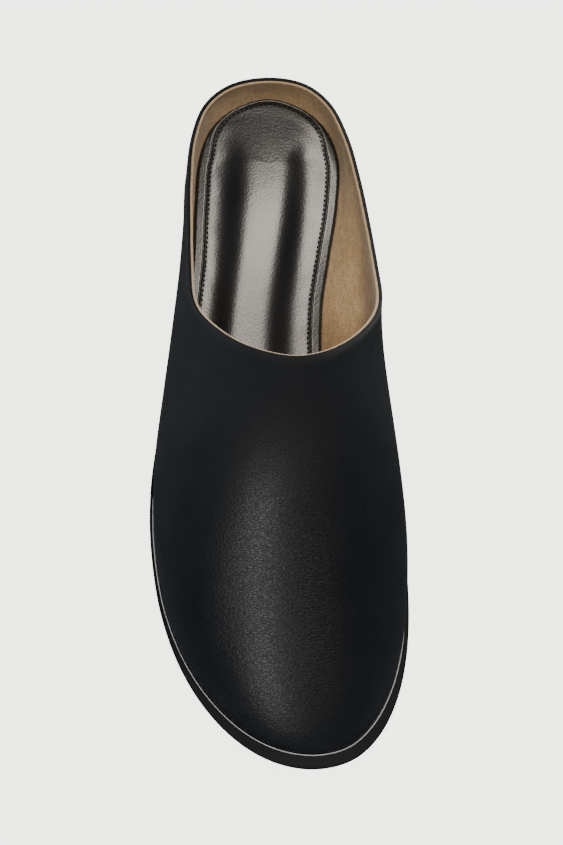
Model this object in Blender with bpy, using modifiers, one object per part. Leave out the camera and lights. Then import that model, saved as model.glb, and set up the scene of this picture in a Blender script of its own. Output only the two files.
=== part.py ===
"""Slip-on mule shoe for the right foot: leather upper, padded sock, thin sole and low heel.

Frame: toe towards -Y, heel towards +Y, inner (big toe) side towards +X, up is +Z.
Lengths are metres. "back" is the distance from the toe tip of the upper, along the foot.
"""
import math

import bmesh
import bpy
import numpy as np

# Named sizes that drive the shoe
LAST_LENGTH = 0.240
BALL_WIDTH = 0.090
INSTEP_HEIGHT = 0.0710
HEEL_HEIGHT = 0.0165
RIM_HEIGHT = 0.0150
TOE_SPRING = 0.0065
SOLE_THICKNESS = 0.0042
UPPER_WALL = 0.0022
SOCK_THICKNESS = 0.0040
SOCK_CROWN = 0.0016
LIFT_THICKNESS = 0.0030
JOINT_GAP = 0.0003

# Outsole edge: how far it stands out past the upper, and its ledge
SOLE_MARGIN = 0.0016
SOLE_TOE_MARGIN = 0.0036
SOLE_HEEL_MARGIN = 0.0022
LEDGE_DEPTH = 0.0007
LEDGE_HEIGHT = 0.0012

# Heel block: where its front face stands and how it spreads
HEEL_FRONT_SHARE = 0.765
HEEL_BACK_SPREAD = 0.0085
HEEL_SIDE_SPREAD = 0.0010
HEEL_PROFILE = [
    # down, spread
    (0.00, 0.00),
    (0.20, 0.48),
    (0.45, 0.82),
    (0.75, 1.00),
    (1.00, 1.00),
]

# Sock: distance in from the outside of the upper at the sole line
SOCK_INSET = 0.0040

LOOP_HALF = 40
UPPER_ROWS = 16
ROW_CROWDING = 1.6
CAP_RINGS = 4
HEEL_LOOP_HALF = 16
COLLECTION_NAME = "mule_shoe"

# Sole line in plan. back: share of LAST_LENGTH. inner, outer: shares of BALL_WIDTH.
SOLE_LINE = [
    # back, inner, outer
    (0.000, 0.045, -0.045),
    (0.010, 0.170, 0.092),
    (0.037, 0.258, 0.212),
    (0.083, 0.336, 0.325),
    (0.145, 0.394, 0.420),
    (0.227, 0.427, 0.490),
    (0.322, 0.422, 0.519),
    (0.413, 0.358, 0.510),
    (0.496, 0.252, 0.473),
    (0.579, 0.178, 0.430),
    (0.661, 0.174, 0.390),
    (0.744, 0.212, 0.360),
    (0.826, 0.253, 0.342),
    (0.897, 0.264, 0.318),
    (0.950, 0.215, 0.262),
    (0.983, 0.122, 0.165),
    (1.000, -0.017, 0.017),
]

# Height of the foot bed over the forefoot level. toe and heel are shares of TOE_SPRING
# and of the heel rise.
BED_LINE = [
    # back, toe, heel
    (0.00, 1.00, 0.00),
    (0.10, 0.42, 0.00),
    (0.19, 0.08, 0.00),
    (0.24, 0.00, 0.00),
    (0.40, 0.00, 0.00),
    (0.50, 0.00, 0.16),
    (0.62, 0.00, 0.52),
    (0.76, 0.00, 0.92),
    (0.84, 0.00, 1.00),
    (1.20, 0.00, 1.00),
]

# Top edge of the upper from the throat centre (run 0) to the back of the heel (run 1).
# back: share of LAST_LENGTH. inner, outer: shares of BALL_WIDTH. high: 1 is the throat
# top and 0 the rim at the back of the heel.
TOP_LINE = [
    # run, back, inner, outer, high
    (0.000, 0.508, -0.017, 0.017, 1.000),
    (0.060, 0.516, 0.090, 0.120, 0.970),
    (0.125, 0.538, 0.190, 0.228, 0.870),
    (0.190, 0.572, 0.280, 0.315, 0.715),
    (0.250, 0.606, 0.332, 0.366, 0.550),
    (0.310, 0.640, 0.354, 0.386, 0.400),
    (0.400, 0.695, 0.353, 0.384, 0.240),
    (0.520, 0.765, 0.340, 0.376, 0.125),
    (0.650, 0.845, 0.315, 0.364, 0.045),
    (0.770, 0.914, 0.278, 0.340, 0.010),
    (0.870, 0.968, 0.216, 0.281, 0.000),
    (0.940, 0.999, 0.122, 0.178, 0.000),
    (1.000, 1.010, -0.020, 0.020, 0.000),
]

# Curve of the upper from sole line to top edge. run: share along the sole line. meets:
# share along the top edge. rise and swell: how far the wall goes up and out at the
# bottom. fall and steep: length and angle of the pull at the top edge.
WALL_SHAPE = [
    # run, meets, rise, swell_inner, swell_outer, fall, steep
    (0.00, 0.000, 0.0125, 0.0016, 0.0016, 0.053, 39.0),
    (0.12, 0.055, 0.0142, 0.0021, 0.0020, 0.048, 39.0),
    (0.22, 0.120, 0.0190, 0.0034, 0.0028, 0.042, 41.0),
    (0.33, 0.215, 0.0245, 0.0048, 0.0038, 0.034, 47.0),
    (0.45, 0.340, 0.0250, 0.0096, 0.0050, 0.026, 56.0),
    (0.58, 0.480, 0.0160, 0.0120, 0.0050, 0.014, 76.0),
    (0.72, 0.640, 0.0090, 0.0068, 0.0036, 0.008, 86.0),
    (0.86, 0.830, 0.0070, 0.0036, 0.0030, 0.007, 88.0),
    (1.00, 1.000, 0.0070, 0.0030, 0.0030, 0.007, 88.0),
]


def smooth_table(rows, column, at):
    """Value of one table column at the given places, through a smooth monotone curve."""
    x = np.array([row[0] for row in rows])
    y = np.array([row[column] for row in rows])
    step = np.diff(x)
    rate = np.diff(y) / step
    slope = np.zeros(len(x))
    slope[0], slope[-1] = rate[0], rate[-1]
    for i in range(1, len(x) - 1):
        if rate[i - 1] * rate[i] > 0.0:
            w1 = 2.0 * step[i] + step[i - 1]
            w2 = step[i] + 2.0 * step[i - 1]
            slope[i] = (w1 + w2) / (w1 / rate[i - 1] + w2 / rate[i])
    place = np.clip(np.asarray(at, dtype=float), x[0], x[-1])
    k = np.clip(np.searchsorted(x, place, side="right") - 1, 0, len(x) - 2)
    t = (place - x[k]) / step[k]
    h00 = 2.0 * t ** 3 - 3.0 * t ** 2 + 1.0
    h10 = t ** 3 - 2.0 * t ** 2 + t
    h01 = 3.0 * t ** 2 - 2.0 * t ** 3
    h11 = t ** 3 - t ** 2
    return h00 * y[k] + h10 * step[k] * slope[k] + h01 * y[k + 1] + h11 * step[k] * slope[k + 1]


def spline_points(points, count):
    """Even points along a smooth curve through all of a list's points but the end two."""
    padded = np.asarray(points, dtype=float)
    points = padded[1:-1]
    fine = []
    for i in range(len(points) - 1):
        p0, p1, p2, p3 = padded[i:i + 4]
        knots = [0.0]
        for a, b in ((p0, p1), (p1, p2), (p2, p3)):
            knots.append(knots[-1] + math.sqrt(np.linalg.norm(b - a)))
        for t in np.linspace(knots[1], knots[2], 24, endpoint=(i == len(points) - 2)):
            a1 = blend(p0, p1, knots[0], knots[1], t)
            a2 = blend(p1, p2, knots[1], knots[2], t)
            a3 = blend(p2, p3, knots[2], knots[3], t)
            b1 = blend(a1, a2, knots[0], knots[2], t)
            b2 = blend(a2, a3, knots[1], knots[3], t)
            fine.append(blend(b1, b2, knots[1], knots[2], t))
    return even_points(np.array(fine), np.linspace(0.0, 1.0, count))


def blend(a, b, ta, tb, t):
    """Point between a and b for knot values ta and tb."""
    return a * (tb - t) / (tb - ta) + b * (t - ta) / (tb - ta)


def even_points(line, shares):
    """Points at shares of the length of a line of points."""
    steps = np.linalg.norm(np.diff(line, axis=0), axis=1)
    length = np.concatenate([[0.0], np.cumsum(steps)])
    at = np.asarray(shares) * length[-1]
    return np.stack([np.interp(at, length, line[:, k]) for k in range(line.shape[1])], axis=1)


def bed_height(back):
    """Height of the top of the outsole over the floor at a distance back from the toe."""
    share = np.asarray(back) / LAST_LENGTH
    heel_rise = HEEL_HEIGHT - SOLE_THICKNESS
    toe = smooth_table(BED_LINE, 1, share) * TOE_SPRING
    return SOLE_THICKNESS + toe + smooth_table(BED_LINE, 2, share) * heel_rise


def half_line(side, count):
    """Plan curve of the sole line on side 1 (inner) or 2 (outer), toe to heel centre."""
    sign = 1.0 if side == 1 else -1.0
    plan = [(row[0] * LAST_LENGTH, sign * row[side] * BALL_WIDTH) for row in SOLE_LINE]
    before = (SOLE_LINE[1][0] * LAST_LENGTH, -sign * SOLE_LINE[1][3 - side] * BALL_WIDTH)
    after = (SOLE_LINE[-2][0] * LAST_LENGTH, -sign * SOLE_LINE[-2][3 - side] * BALL_WIDTH)
    return spline_points([before, *plan, after], count)


def top_point(row, side):
    """Point of the top edge for one table row, on side 1 (inner) or 2 (outer)."""
    sign = 1.0 if side == 1 else -1.0
    rim = HEEL_HEIGHT + RIM_HEIGHT
    high = rim + row[4] * (INSTEP_HEIGHT - rim)
    return (row[1] * LAST_LENGTH, sign * row[1 + side] * BALL_WIDTH, high)


def top_edge(side, count):
    """Top edge of the upper on one side, from the throat centre to the heel centre."""
    rows = [top_point(row, side) for row in TOP_LINE]
    before = top_point(TOP_LINE[1], 3 - side)
    after = top_point(TOP_LINE[-2], 3 - side)
    return spline_points([before, *rows, after], count)


def sole_loop(grow, toe_grow=0.0, heel_grow=0.0, half=LOOP_HALF):
    """Closed sole line in plan as (back, across), grown outwards in its own plane."""
    inner = half_line(1, half + 1)
    outer = half_line(2, half + 1)
    loop = np.vstack([inner, outer[-2:0:-1]])
    ahead = np.roll(loop, -1, axis=0) - np.roll(loop, 1, axis=0)
    normal = np.stack([-ahead[:, 1], ahead[:, 0]], axis=1)
    normal /= np.linalg.norm(normal, axis=1)[:, None]
    share = loop[:, 0] / LAST_LENGTH
    extra = toe_grow * np.clip(1.0 - share / 0.32, 0.0, 1.0) ** 2
    extra += heel_grow * np.clip((share - 0.80) / 0.20, 0.0, 1.0) ** 2
    return loop + normal * (grow + extra)[:, None]


def to_frame(back, across, high):
    """Shoe distances to frame coordinates, before the parts are centred."""
    return np.stack([across, back, high], axis=-1)


def close_rings(bm, rings):
    """Skin a list of rings of vertices with quads."""
    for low, high in zip(rings[:-1], rings[1:]):
        n = len(low)
        for i in range(n):
            j = (i + 1) % n
            corners = []
            for v in (low[i], low[j], high[j], high[i]):
                if v not in corners:
                    corners.append(v)
            if len(corners) > 2:
                bm.faces.new(corners)


def make_object(name, bm, material):
    """Turn a bmesh into a named object in the shoe's collection."""
    bmesh.ops.recalc_face_normals(bm, faces=bm.faces[:])
    mesh = bpy.data.meshes.new(name)
    bm.to_mesh(mesh)
    bm.free()
    mesh.materials.append(material)
    obj = bpy.data.objects.new(name, mesh)
    shoe_collection().objects.link(obj)
    return obj


def shoe_collection():
    """The collection that holds the shoe, made on first use."""
    found = bpy.data.collections.get(COLLECTION_NAME)
    if found is None:
        found = bpy.data.collections.new(COLLECTION_NAME)
        bpy.context.scene.collection.children.link(found)
    return found


def make_material(name, colour, roughness):
    """Plain leather or rubber material from the photo's colours."""
    material = bpy.data.materials.new(name)
    material.use_nodes = True
    shader = material.node_tree.nodes["Principled BSDF"]
    shader.inputs["Base Color"].default_value = (*colour, 1.0)
    shader.inputs["Roughness"].default_value = roughness
    shader.inputs["Metallic"].default_value = 0.0
    return material


def spine_of(loop, trim):
    """Middle line of a loop, stopped short of both ends."""
    n = len(loop)
    mirror = loop[(-np.arange(n)) % n]
    middle = 0.5 * (loop + mirror)
    low, high = loop[:, 0].min(), loop[:, 0].max()
    keep = np.clip(middle[:, 0], low + trim, high - trim)
    order = np.argsort(middle[:, 0])
    across = np.interp(keep, middle[order, 0], middle[order, 1])
    return np.stack([keep, across], axis=1)


def plate(name, loop, section, top_of, bottom_of, material, trim):
    """Plate with an edge section. section rows: (move out, share of the way down)."""
    bm = bmesh.new()
    spine = spine_of(loop, trim)
    ahead = np.roll(loop, -1, axis=0) - np.roll(loop, 1, axis=0)
    normal = np.stack([-ahead[:, 1], ahead[:, 0]], axis=1)
    normal /= np.linalg.norm(normal, axis=1)[:, None]

    def ring(plan, high):
        return [bm.verts.new(p) for p in to_frame(plan[:, 0], plan[:, 1], high)]

    top_edge = loop + normal * section[0][0]
    bottom_edge = loop + normal * section[-1][0]
    rings = []
    for k in range(CAP_RINGS):
        plan = spine + (top_edge - spine) * k / CAP_RINGS
        rings.append(ring(plan, top_of(plan, k / CAP_RINGS)))
    for move, share in section:
        plan = loop + normal * move
        top, bottom = top_of(plan, 1.0), bottom_of(plan)
        rings.append(ring(plan, top + (bottom - top) * share))
    for k in range(CAP_RINGS - 1, -1, -1):
        plan = spine + (bottom_edge - spine) * k / CAP_RINGS
        rings.append(ring(plan, bottom_of(plan)))
    close_rings(bm, rings)
    bmesh.ops.remove_doubles(bm, verts=bm.verts[:], dist=1e-6)
    return make_object(name, bm, material)


def build_outsole(material):
    """Thin sole plate with toe spring, arch, heel seat and a ledge under the upper."""
    loop = sole_loop(SOLE_MARGIN, SOLE_TOE_MARGIN, SOLE_HEEL_MARGIN)
    ledge = LEDGE_HEIGHT / SOLE_THICKNESS
    section = [
        (-0.0004, 0.0),
        (0.0, 0.08),
        (0.0, ledge),
        (-LEDGE_DEPTH, ledge + 0.10),
        (-LEDGE_DEPTH, 0.86),
        (-LEDGE_DEPTH - 0.0007, 1.0),
    ]

    def top_of(plan, _share):
        return bed_height(plan[:, 0])

    def bottom_of(plan):
        return bed_height(plan[:, 0]) - SOLE_THICKNESS

    return plate("outsole", loop, section, top_of, bottom_of, material, 0.10 * LAST_LENGTH)


def build_insole(material):
    """Padded sock with a rolled edge and a low crown."""
    loop = sole_loop(-SOCK_INSET)
    section = [
        (-0.0022, 0.0),
        (-0.0010, 0.10),
        (-0.0002, 0.34),
        (0.0, 0.60),
        (-0.0002, 0.85),
        (-0.0008, 1.0),
    ]

    def top_of(plan, share):
        crown = SOCK_CROWN * (1.0 - share ** 3)
        return bed_height(plan[:, 0]) + JOINT_GAP + SOCK_THICKNESS + crown

    def bottom_of(plan):
        return bed_height(plan[:, 0]) + JOINT_GAP

    return plate("insole", loop, section, top_of, bottom_of, material, 0.10 * LAST_LENGTH)


def wall_curve(start, end, rise, swell, outward, fall, steep):
    """Points of one wall curve from the sole line to the top edge."""
    run = end[:2] - start[:2]
    span = np.linalg.norm(run)
    toward = -run / span if span > 1e-6 else outward
    mix = min(1.0, span / 0.03)
    pull = toward * mix + outward * (1.0 - mix)
    pull = pull / max(np.linalg.norm(pull), 1e-9)
    angle = math.radians(steep)
    first = np.array([*(start[:2] + outward * swell), start[2] + rise])
    second = np.array([*(end[:2] + pull * fall * math.cos(angle)), end[2] - fall * math.sin(angle)])
    t = np.linspace(0.0, 1.0, 60)[:, None]
    line = (1 - t) ** 3 * start + 3 * t * (1 - t) ** 2 * first + 3 * t ** 2 * (1 - t) * second + t ** 3 * end
    return even_points(line, np.linspace(0.0, 1.0, UPPER_ROWS + 1) ** ROW_CROWDING)


def upper_side(side):
    """Wall curves of one side of the upper, toe to heel: array (curve, row, 3)."""
    sign = 1.0 if side == 1 else -1.0
    runs = np.linspace(0.0, 1.0, LOOP_HALF + 1)
    plan = half_line(side, LOOP_HALF + 1)
    ends = even_points(top_edge(side, 400), smooth_table(WALL_SHAPE, 1, runs))
    ahead = np.gradient(plan, axis=0)
    ahead[0], ahead[-1] = (0.0, sign), (0.0, -sign)
    outward = np.stack([-ahead[:, 1], ahead[:, 0]], axis=1) * sign
    outward /= np.linalg.norm(outward, axis=1)[:, None]
    curves = []
    for i, run in enumerate(runs):
        start = np.array([plan[i, 0], plan[i, 1], bed_height(plan[i, 0]) + JOINT_GAP])
        rise, fall = smooth_table(WALL_SHAPE, 2, run), smooth_table(WALL_SHAPE, 5, run)
        swell = smooth_table(WALL_SHAPE, 2 + side, run)
        steep = float(smooth_table(WALL_SHAPE, 6, run))
        curves.append(wall_curve(start, ends[i], rise, swell, outward[i], fall, steep))
    return np.array(curves)


def build_upper(material):
    """Hollow leather upper, open at the top and underneath."""
    inner = upper_side(1)
    outer = upper_side(2)
    grid = np.concatenate([inner, outer[-2:0:-1]])
    bm = bmesh.new()
    rings = []
    for row in range(UPPER_ROWS + 1):
        plan = grid[:, row]
        rings.append([bm.verts.new(p) for p in to_frame(plan[:, 0], plan[:, 1], plan[:, 2])])
    close_rings(bm, rings)
    obj = make_object("upper", bm, material)
    flip_outwards(obj)
    shell = obj.modifiers.new("wall", "SOLIDIFY")
    shell.thickness = UPPER_WALL
    shell.offset = -1.0
    shell.use_even_offset = True
    shell.use_rim = True
    bake_modifiers(obj)
    return obj


def flip_outwards(obj):
    """Make the faces of an open shell point away from its middle."""
    mesh = obj.data
    middle = np.mean([v.co[:] for v in mesh.vertices], axis=0)
    score = sum(poly.area * float(np.dot(poly.normal, np.array(poly.center) - middle)) for poly in mesh.polygons)
    if score < 0.0:
        mesh.flip_normals()


def bake_modifiers(obj):
    """Replace the mesh with its modified form."""
    graph = bpy.context.evaluated_depsgraph_get()
    graph.update()
    mesh = bpy.data.meshes.new_from_object(obj.evaluated_get(graph))
    obj.modifiers.clear()
    old = obj.data
    obj.data = mesh
    bpy.data.meshes.remove(old)
    mesh.name = obj.name


def heel_loop(back_spread, side_spread):
    """Closed plan of the heel: sole line at the back, gently curved face in front."""
    full = sole_loop(SOLE_MARGIN - LEDGE_DEPTH - 0.0007, 0.0, SOLE_HEEL_MARGIN, 4 * LOOP_HALF)
    front = HEEL_FRONT_SHARE * LAST_LENGTH
    sides = []
    half = len(full) // 2
    for line in (full[:half + 1], np.vstack([full[half:], full[:1]])[::-1]):
        keep = line[line[:, 0] >= front]
        first = np.array([front, np.interp(front, line[:, 0], line[:, 1])])
        sides.append(even_points(np.vstack([first, keep]), np.linspace(0.0, 1.0, HEEL_LOOP_HALF + 1)))
    loop = np.vstack([sides[0], sides[1][-2::-1]])
    face = []
    for t in np.linspace(0.0, 1.0, 8)[1:-1]:
        across = sides[1][0, 1] + (sides[0][0, 1] - sides[1][0, 1]) * t
        face.append((front + 0.0035 * 4.0 * t * (1.0 - t), across))
    loop = np.vstack([loop, face])
    share = np.clip((loop[:, 0] - front) / (LAST_LENGTH - front), 0.0, 1.0)
    middle = 0.5 * (sides[0][0, 1] + sides[1][0, 1])
    moved = loop.copy()
    moved[:, 0] += back_spread * share ** 2
    moved[:, 1] += np.sign(loop[:, 1] - middle) * side_spread * np.clip(share * 3.0, 0.0, 1.0) * (1.0 - share ** 4)
    return moved


def block(name, loops, heights, material):
    """Closed block through plan loops at heights, with flat ends."""
    bm = bmesh.new()
    rings = []
    for loop, high in zip(loops, heights):
        rings.append([bm.verts.new(p) for p in to_frame(loop[:, 0], loop[:, 1], high)])
    close_rings(bm, rings)
    bm.faces.new(rings[0])
    bm.faces.new(rings[-1][::-1])
    bmesh.ops.triangulate(bm, faces=[f for f in bm.faces if len(f.verts) > 4])
    return make_object(name, bm, material)


def build_heel(material):
    """Low heel block under the back of the outsole, spreading backwards as it goes down."""
    top_loop = heel_loop(0.0, 0.0)
    seat = bed_height(top_loop[:, 0]) - SOLE_THICKNESS - JOINT_GAP
    low = LIFT_THICKNESS + JOINT_GAP
    loops, heights = [], []
    for share, spread in HEEL_PROFILE:
        loops.append(heel_loop(HEEL_BACK_SPREAD * spread, HEEL_SIDE_SPREAD * spread))
        heights.append(seat + (low - seat) * share)
    return block("heel", loops, heights, material)


def build_top_piece(material):
    """Wearing piece under the heel block, with a flat underside on the floor."""
    wide = heel_loop(HEEL_BACK_SPREAD, HEEL_SIDE_SPREAD)
    narrow = heel_loop(HEEL_BACK_SPREAD - 0.0006, HEEL_SIDE_SPREAD - 0.0006)
    n = len(wide)
    loops = [wide, wide, narrow]
    heights = [np.full(n, LIFT_THICKNESS), np.full(n, 0.0006), np.zeros(n)]
    return block("heel_top_piece", loops, heights, material)


def centre_parts(objects):
    """Move every mesh so the shoe's box is centred in plan and stands on the floor."""
    points = np.array([v.co[:] for obj in objects for v in obj.data.vertices])
    low, high = points.min(axis=0), points.max(axis=0)
    shift = np.array([-(low[0] + high[0]) / 2.0, -(low[1] + high[1]) / 2.0, -low[2]])
    for obj in objects:
        for v in obj.data.vertices:
            v.co = [float(v.co[k] + shift[k]) for k in range(3)]
        obj.data.update()


def main():
    """Build the shoe."""
    for obj in list(bpy.data.objects):
        bpy.data.objects.remove(obj, do_unlink=True)
    leather = make_material("black_leather", (0.012, 0.013, 0.015), 0.42)
    sock = make_material("black_sock_leather", (0.014, 0.013, 0.013), 0.25)
    sole = make_material("black_sole_leather", (0.014, 0.014, 0.015), 0.50)
    stack = make_material("black_heel", (0.016, 0.016, 0.018), 0.55)
    rubber = make_material("black_rubber", (0.018, 0.018, 0.019), 0.75)
    parts = [
        build_outsole(sole),
        build_heel(stack),
        build_top_piece(rubber),
        build_upper(leather),
        build_insole(sock),
    ]
    centre_parts(parts)


main()
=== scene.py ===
"""Looks of a right mule shoe: black leather upper, tan lining, padded sock, sole and heel.

Toe towards -Y, heel towards +Y, inner (big toe) side towards +X, up is +Z. Metres.
"""

import logging
import math
from collections.abc import Callable
from dataclasses import dataclass
from enum import Enum

import bmesh
import bpy
import numpy as np
from bpy.types import ID, Material, Mesh, Node, NodeSocket, NodeTree, Object
from mathutils import Matrix, Vector
from mathutils.kdtree import KDTree


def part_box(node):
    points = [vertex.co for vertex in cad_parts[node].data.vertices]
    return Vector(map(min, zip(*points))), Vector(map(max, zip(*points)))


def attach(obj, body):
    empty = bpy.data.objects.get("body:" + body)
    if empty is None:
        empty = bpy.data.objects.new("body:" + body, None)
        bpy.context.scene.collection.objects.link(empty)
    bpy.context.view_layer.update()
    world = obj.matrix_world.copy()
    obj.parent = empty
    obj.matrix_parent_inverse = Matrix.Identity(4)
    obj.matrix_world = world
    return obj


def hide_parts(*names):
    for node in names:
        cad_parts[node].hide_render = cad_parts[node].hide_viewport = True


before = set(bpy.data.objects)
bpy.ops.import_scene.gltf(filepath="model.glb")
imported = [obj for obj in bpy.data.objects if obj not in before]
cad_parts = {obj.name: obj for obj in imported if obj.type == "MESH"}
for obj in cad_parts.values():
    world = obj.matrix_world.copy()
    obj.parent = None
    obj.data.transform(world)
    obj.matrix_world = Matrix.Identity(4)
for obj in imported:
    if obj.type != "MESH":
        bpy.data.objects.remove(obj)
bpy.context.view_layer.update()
LOG = logging.getLogger("mule")
Array = np.ndarray

SOLE_LINE = [
    # back, inner, outer
    (0.000, 0.045, -0.045),
    (0.010, 0.170, 0.092),
    (0.037, 0.258, 0.212),
    (0.083, 0.336, 0.325),
    (0.145, 0.394, 0.420),
    (0.227, 0.427, 0.490),
    (0.322, 0.422, 0.519),
    (0.413, 0.358, 0.510),
    (0.496, 0.252, 0.473),
    (0.579, 0.178, 0.430),
    (0.661, 0.174, 0.390),
    (0.744, 0.212, 0.360),
    (0.826, 0.253, 0.342),
    (0.897, 0.264, 0.318),
    (0.950, 0.215, 0.262),
    (0.983, 0.122, 0.165),
    (1.000, -0.017, 0.017),
]
BED_LINE = [
    # back, toe, heel
    (0.00, 1.00, 0.00),
    (0.10, 0.42, 0.00),
    (0.19, 0.08, 0.00),
    (0.24, 0.00, 0.00),
    (0.40, 0.00, 0.00),
    (0.50, 0.00, 0.16),
    (0.62, 0.00, 0.52),
    (0.76, 0.00, 0.92),
    (0.84, 0.00, 1.00),
    (1.20, 0.00, 1.00),
]
TOP_LINE = [
    # run, back, inner, outer, high
    (0.000, 0.508, -0.017, 0.017, 1.000),
    (0.060, 0.516, 0.090, 0.120, 0.970),
    (0.125, 0.538, 0.190, 0.228, 0.870),
    (0.190, 0.572, 0.280, 0.315, 0.715),
    (0.250, 0.606, 0.332, 0.366, 0.550),
    (0.310, 0.640, 0.354, 0.386, 0.400),
    (0.400, 0.695, 0.353, 0.384, 0.240),
    (0.520, 0.765, 0.340, 0.376, 0.125),
    (0.650, 0.845, 0.315, 0.364, 0.045),
    (0.770, 0.914, 0.278, 0.340, 0.010),
    (0.870, 0.968, 0.216, 0.281, 0.000),
    (0.940, 0.999, 0.122, 0.178, 0.000),
    (1.000, 1.010, -0.020, 0.020, 0.000),
]
WALL_SHAPE = [
    # run, meets, rise, swell_inner, swell_outer, fall, steep
    (0.00, 0.000, 0.0125, 0.0016, 0.0016, 0.053, 39.0),
    (0.12, 0.055, 0.0142, 0.0021, 0.0020, 0.048, 39.0),
    (0.22, 0.120, 0.0190, 0.0034, 0.0028, 0.042, 41.0),
    (0.33, 0.215, 0.0245, 0.0048, 0.0038, 0.034, 47.0),
    (0.45, 0.340, 0.0250, 0.0096, 0.0050, 0.026, 56.0),
    (0.58, 0.480, 0.0160, 0.0120, 0.0050, 0.014, 76.0),
    (0.72, 0.640, 0.0090, 0.0068, 0.0036, 0.008, 86.0),
    (0.86, 0.830, 0.0070, 0.0036, 0.0030, 0.007, 88.0),
    (1.00, 1.000, 0.0070, 0.0030, 0.0030, 0.007, 88.0),
]
SEAM_LINES = [
    # past the seam, rise, width
    (0.0, -0.00003, 0.00045),
    (-0.0012, -0.00020, 0.00026),
]
HEEL_PROFILE = [
    # down, spread
    (0.00, 0.00),
    (0.20, 0.48),
    (0.45, 0.82),
    (0.75, 1.00),
    (1.00, 1.00),
]


class Side(Enum):
    """The two sides of the foot."""

    INNER = 1
    OUTER = 2

    @property
    def sign(self) -> float:
        """Direction of the side across the shoe."""
        return 1.0 if self is Side.INNER else -1.0

    @property
    def other(self) -> "Side":
        """The opposite side."""
        return Side.OUTER if self is Side.INNER else Side.INNER


def smooth_table(rows: list[tuple], column: int, at: Array) -> Array:
    """Value of one table column at given places, through a smooth monotone curve.

    Args:
        rows: table rows; the first column is the place.
        column: the column to read.
        at: places to read it at.

    Returns:
        The values, one per place.
    """
    x = np.array([row[0] for row in rows])
    y = np.array([row[column] for row in rows])
    step = np.diff(x)
    rate = np.diff(y) / step
    slope = np.zeros(len(x))
    slope[0], slope[-1] = rate[0], rate[-1]
    for i in range(1, len(x) - 1):
        if rate[i - 1] * rate[i] > 0.0:
            w1 = 2.0 * step[i] + step[i - 1]
            w2 = step[i] + 2.0 * step[i - 1]
            slope[i] = (w1 + w2) / (w1 / rate[i - 1] + w2 / rate[i])
    place = np.clip(np.asarray(at, dtype=float), x[0], x[-1])
    k = np.clip(np.searchsorted(x, place, side="right") - 1, 0, len(x) - 2)
    t = (place - x[k]) / step[k]
    value = (2.0 * t ** 3 - 3.0 * t ** 2 + 1.0) * y[k] + (3.0 * t ** 2 - 2.0 * t ** 3) * y[k + 1]
    return value + step[k] * ((t ** 3 - 2.0 * t ** 2 + t) * slope[k] + (t ** 3 - t ** 2) * slope[k + 1])


def ease(value: Array) -> Array:
    """Smooth step of values from 0 to 1, held outside."""
    share = np.clip(value, 0.0, 1.0)
    return share ** 2 * (3.0 - 2.0 * share)


def bell(value: Array, width: float) -> Array:
    """Bell curve, 1 at 0."""
    return np.exp(-(value / width) ** 2)


def rise_past(share: Array, shoulder: float, width: float) -> Array:
    """Rise from 0 to 1 that is steepest at a shoulder.

    Args:
        share: places from 0 to 1.
        shoulder: place of the steepest part.
        width: how far the steep part spreads.

    Returns:
        The rise at each place.
    """
    scale = np.linspace(0.0, 1.0, 120)
    slope = bell(scale - shoulder, width)
    rise = np.concatenate([[0.0], np.cumsum(0.5 * (slope[1:] + slope[:-1]))])
    return np.interp(share, scale, rise / rise[-1])


def even_points(line: Array, shares: Array) -> Array:
    """Points at shares of the length of a line of points.

    Args:
        line: points along the line, (n, 2) or (n, 3).
        shares: places along it, 0 to 1.

    Returns:
        The points, one per share.
    """
    steps = np.linalg.norm(np.diff(line, axis=0), axis=1)
    length = np.concatenate([[0.0], np.cumsum(steps)])
    at = np.asarray(shares) * length[-1]
    return np.stack([np.interp(at, length, line[:, k]) for k in range(line.shape[1])], axis=1)


def spline_points(points: list, count: int) -> Array:
    """Even points along a smooth curve through all of a list's points but the end two.

    Args:
        points: the points, with one more before the start and one after the end.
        count: how many points to give back.

    Returns:
        The even points, (count, dimensions).
    """
    def blend(a: Array, b: Array, ta: float, tb: float) -> Array:
        """Straight blend of two points or curves, a at knot ta and b at knot tb."""
        return a * (tb - t) / (tb - ta) + b * (t - ta) / (tb - ta)

    padded = np.asarray(points, dtype=float)
    fine = []
    spans = len(padded) - 3
    for i in range(spans):
        p0, p1, p2, p3 = padded[i:i + 4]
        k = [0.0]
        for a, b in ((p0, p1), (p1, p2), (p2, p3)):
            k.append(k[-1] + math.sqrt(np.linalg.norm(b - a)))
        t = np.linspace(k[1], k[2], 40, endpoint=(i == spans - 1))[:, None]
        a1, a2, a3 = blend(p0, p1, k[0], k[1]), blend(p1, p2, k[1], k[2]), blend(p2, p3, k[2], k[3])
        b1, b2 = blend(a1, a2, k[0], k[2]), blend(a2, a3, k[1], k[3])
        fine.append(blend(b1, b2, k[1], k[2]))
    return even_points(np.vstack(fine), np.linspace(0.0, 1.0, count))


def unit(vectors: Array) -> Array:
    """Vectors scaled to a length of 1."""
    return vectors / np.maximum(np.linalg.norm(vectors, axis=-1, keepdims=True), 1e-12)


def loop_normals(loop: Array) -> Array:
    """Outward unit normals of a closed plan loop of (back, across) points."""
    ahead = np.roll(loop, -1, axis=0) - np.roll(loop, 1, axis=0)
    return unit(ahead[:, ::-1] * (-1.0, 1.0))


def middle_line(loop: Array, inset: float) -> Array:
    """Middle point that each point of a plan loop faces.

    Args:
        loop: closed loop of (back, across) points, its first point at the toe.
        inset: how far the middle line stops short of both ends.

    Returns:
        One (back, across) point per loop point.
    """
    middle = 0.5 * (loop + loop[(-np.arange(len(loop))) % len(loop)])
    keep = np.clip(middle[:, 0], loop[:, 0].min() + inset, loop[:, 0].max() - inset)
    order = np.argsort(middle[:, 0])
    return np.stack([keep, np.interp(keep, middle[order, 0], middle[order, 1])], axis=1)


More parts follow.
